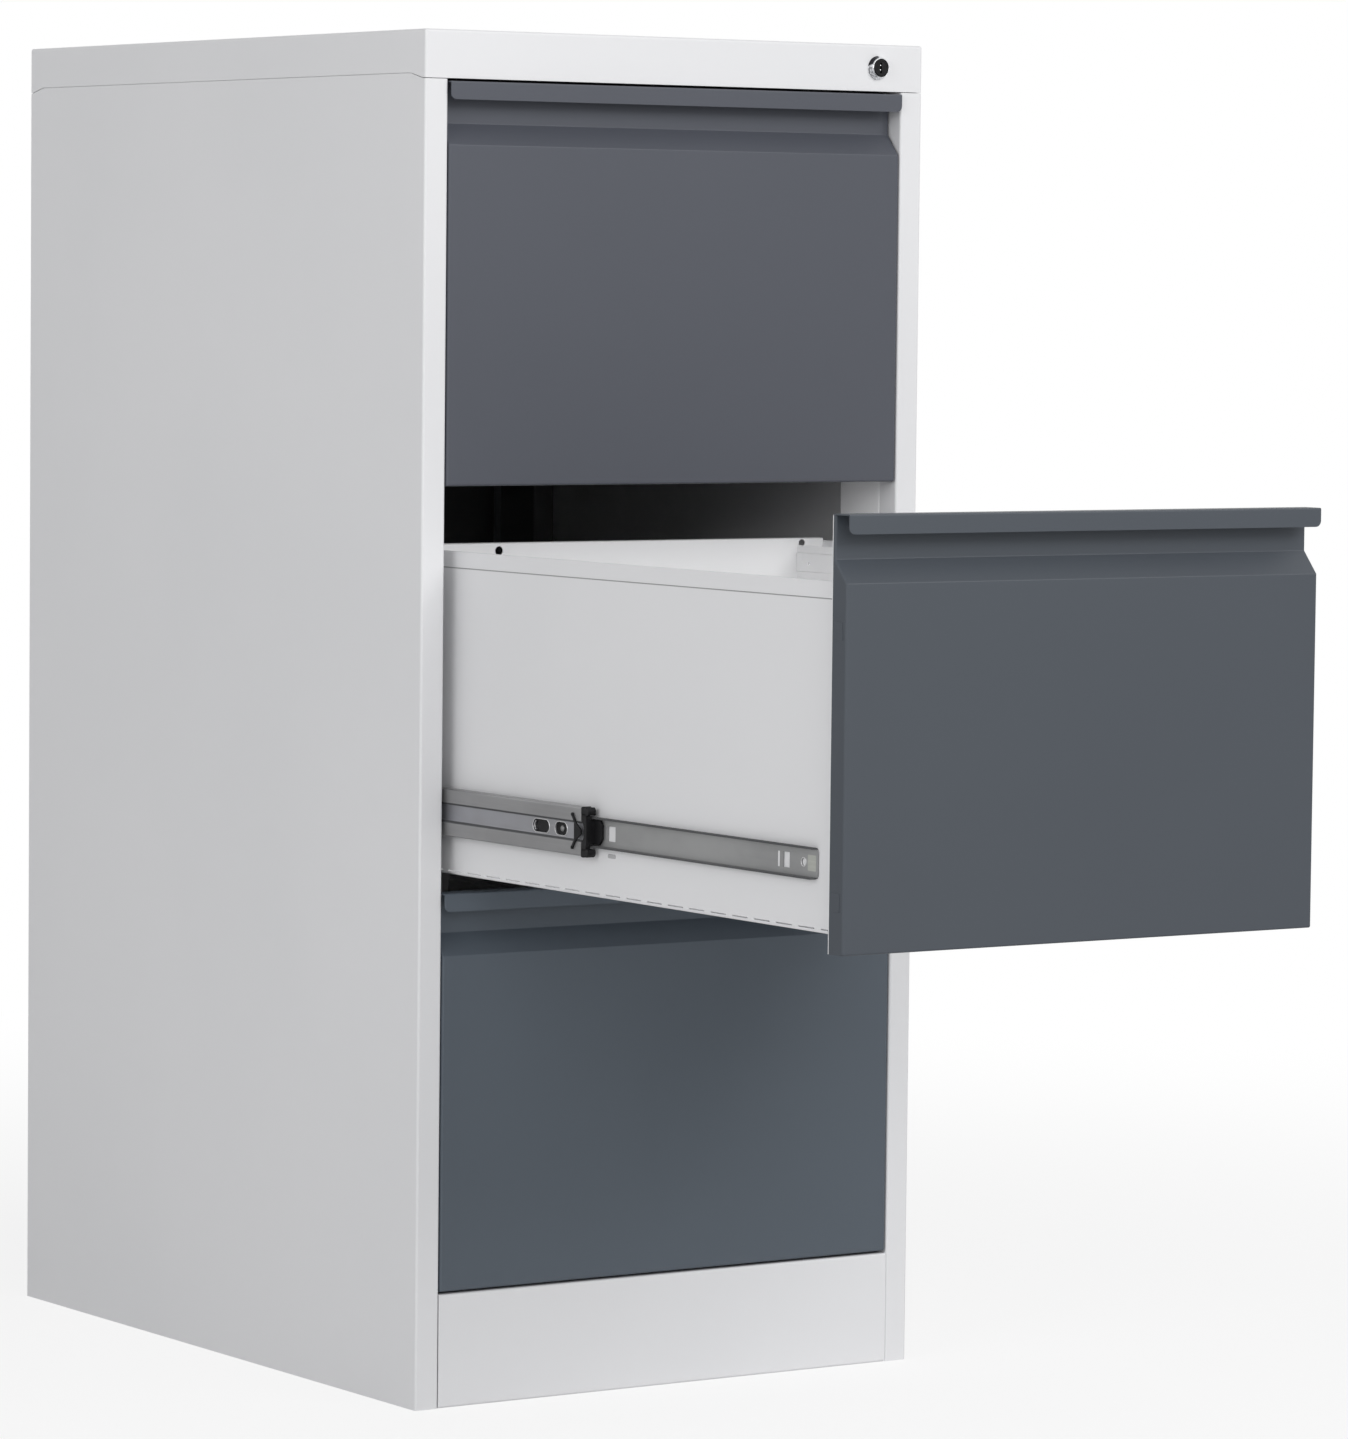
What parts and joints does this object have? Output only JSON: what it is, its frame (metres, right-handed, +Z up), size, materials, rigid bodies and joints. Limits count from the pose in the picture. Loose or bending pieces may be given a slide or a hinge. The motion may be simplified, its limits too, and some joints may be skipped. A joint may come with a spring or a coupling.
{
  "type": "filing cabinet",
  "caption": "Free-standing steel filing cabinet with lipped drawer fronts, hanging-file rails, full-extension ball-bearing slides and a cam lock in the top rail.",
  "frame": {"origin": "on the floor under the middle of the casing's footprint", "axes": "+X to the right seen from the front, +Y to the back, +Z up; the drawers open along -Y"},
  "size_m": [0.452, 1.139, 1.03],
  "materials": {
    "white_paint": "fine satin powder coat",
    "grey_paint": "fine satin powder coat",
    "zinc_steel": "zinc-plated rolled steel",
    "bearing_steel": "greased bearing steel",
    "black_plastic": "moulded, fine grain",
    "chrome": "polished plating",
    "lock_black": "black plug face"
  },
  "bodies": {
    "carcass": {"left_side_panel": "white_paint", "right_side_panel": "white_paint", "top_cap": "white_paint", "plinth": "white_paint", "base_panel": "white_paint", "back_panel": "white_paint", "front_left_upright": "white_paint", "front_right_upright": "white_paint", "rear_uprights": "white_paint", "lock_housing": "chrome", "lock_nut": "zinc_steel", "lock_bar_guides": "zinc_steel", "left_bottom_slide_cabinet_member": "zinc_steel", "right_bottom_slide_cabinet_member": "zinc_steel", "left_middle_slide_cabinet_member": "zinc_steel", "right_middle_slide_cabinet_member": "zinc_steel", "left_top_slide_cabinet_member": "zinc_steel", "right_top_slide_cabinet_member": "zinc_steel"},
    "bottom_drawer": {"bottom_drawer_front": "grey_paint", "bottom_drawer_front_inner_panel": "white_paint", "bottom_drawer_tray": "white_paint", "bottom_drawer_back_panel": "white_paint", "bottom_hanging_file_rails": "white_paint", "bottom_lock_striker": "zinc_steel", "left_bottom_slide_drawer_member": "zinc_steel", "right_bottom_slide_drawer_member": "zinc_steel"},
    "bottom_slide_middle_members": {"left_bottom_slide_middle_member": "zinc_steel", "right_bottom_slide_middle_member": "zinc_steel", "bottom_slide_end_stops": "black_plastic"},
    "bottom_outer_cages": {"bottom_outer_ball_cages": "bearing_steel"},
    "bottom_inner_cages": {"bottom_inner_ball_cages": "bearing_steel"},
    "middle_drawer": {"middle_drawer_front": "grey_paint", "middle_drawer_front_inner_panel": "white_paint", "middle_drawer_tray": "white_paint", "middle_drawer_back_panel": "white_paint", "middle_hanging_file_rails": "white_paint", "middle_lock_striker": "zinc_steel", "left_middle_slide_drawer_member": "zinc_steel", "right_middle_slide_drawer_member": "zinc_steel"},
    "middle_slide_middle_members": {"left_middle_slide_middle_member": "zinc_steel", "right_middle_slide_middle_member": "zinc_steel", "middle_slide_end_stops": "black_plastic"},
    "middle_outer_cages": {"middle_outer_ball_cages": "bearing_steel"},
    "middle_inner_cages": {"middle_inner_ball_cages": "bearing_steel"},
    "top_drawer": {"top_drawer_front": "grey_paint", "top_drawer_front_inner_panel": "white_paint", "top_drawer_tray": "white_paint", "top_drawer_back_panel": "white_paint", "top_hanging_file_rails": "white_paint", "top_lock_striker": "zinc_steel", "left_top_slide_drawer_member": "zinc_steel", "right_top_slide_drawer_member": "zinc_steel"},
    "top_slide_middle_members": {"left_top_slide_middle_member": "zinc_steel", "right_top_slide_middle_member": "zinc_steel", "top_slide_end_stops": "black_plastic"},
    "top_outer_cages": {"top_outer_ball_cages": "bearing_steel"},
    "top_inner_cages": {"top_inner_ball_cages": "bearing_steel"},
    "lock_plug": {"lock_plug": "lock_black", "lock_cam": "zinc_steel"},
    "lock_bar": {"lock_bar": "zinc_steel"}
  },
  "joints": [
    {"name": "bottom_drawer_slide", "type": "slide", "parent": "carcass", "child": "bottom_drawer", "axis": [0, -1, 0], "range_m": [0, 0.547]},
    {"name": "bottom_middle_members_slide", "type": "slide", "parent": "carcass", "child": "bottom_slide_middle_members", "axis": [0, -1, 0], "range_m": [0, 0.2735]},
    {"name": "bottom_outer_cages_slide", "type": "slide", "parent": "carcass", "child": "bottom_outer_cages", "axis": [0, -1, 0], "range_m": [0, 0.13675]},
    {"name": "bottom_inner_cages_slide", "type": "slide", "parent": "carcass", "child": "bottom_inner_cages", "axis": [0, -1, 0], "range_m": [0, 0.41025]},
    {"name": "middle_drawer_slide", "type": "slide", "parent": "carcass", "child": "middle_drawer", "axis": [0, -1, 0], "range_m": [-0.516, 0.031]},
    {"name": "middle_middle_members_slide", "type": "slide", "parent": "carcass", "child": "middle_slide_middle_members", "axis": [0, -1, 0], "range_m": [-0.258, 0.0155]},
    {"name": "middle_outer_cages_slide", "type": "slide", "parent": "carcass", "child": "middle_outer_cages", "axis": [0, -1, 0], "range_m": [-0.129, 0.00775]},
    {"name": "middle_inner_cages_slide", "type": "slide", "parent": "carcass", "child": "middle_inner_cages", "axis": [0, -1, 0], "range_m": [-0.387, 0.02325]},
    {"name": "top_drawer_slide", "type": "slide", "parent": "carcass", "child": "top_drawer", "axis": [0, -1, 0], "range_m": [0, 0.547]},
    {"name": "top_middle_members_slide", "type": "slide", "parent": "carcass", "child": "top_slide_middle_members", "axis": [0, -1, 0], "range_m": [0, 0.2735]},
    {"name": "top_outer_cages_slide", "type": "slide", "parent": "carcass", "child": "top_outer_cages", "axis": [0, -1, 0], "range_m": [0, 0.13675]},
    {"name": "top_inner_cages_slide", "type": "slide", "parent": "carcass", "child": "top_inner_cages", "axis": [0, -1, 0], "range_m": [0, 0.41025]},
    {"name": "lock_plug_turn", "type": "hinge", "parent": "carcass", "child": "lock_plug", "pos_m": [0.1835, -0.31, 1.012], "axis": [0, -1, 0], "range_deg": [0, 90]},
    {"name": "lock_bar_lift", "type": "slide", "parent": "carcass", "child": "lock_bar", "axis": [0, 0, 1], "range_m": [0, 0.0198]}
  ],
  "couplings": [
    {"joint": "bottom_middle_members_slide", "follows": "bottom_drawer_slide", "ratio": 0.5},
    {"joint": "bottom_outer_cages_slide", "follows": "bottom_drawer_slide", "ratio": 0.25},
    {"joint": "bottom_inner_cages_slide", "follows": "bottom_drawer_slide", "ratio": 0.75},
    {"joint": "middle_middle_members_slide", "follows": "middle_drawer_slide", "ratio": 0.5},
    {"joint": "middle_outer_cages_slide", "follows": "middle_drawer_slide", "ratio": 0.25},
    {"joint": "middle_inner_cages_slide", "follows": "middle_drawer_slide", "ratio": 0.75},
    {"joint": "top_middle_members_slide", "follows": "top_drawer_slide", "ratio": 0.5},
    {"joint": "top_outer_cages_slide", "follows": "top_drawer_slide", "ratio": 0.25},
    {"joint": "top_inner_cages_slide", "follows": "top_drawer_slide", "ratio": 0.75},
    {"joint": "lock_plug_turn", "follows": "lock_bar_lift", "rad_per_m": 79.337}
  ]
}
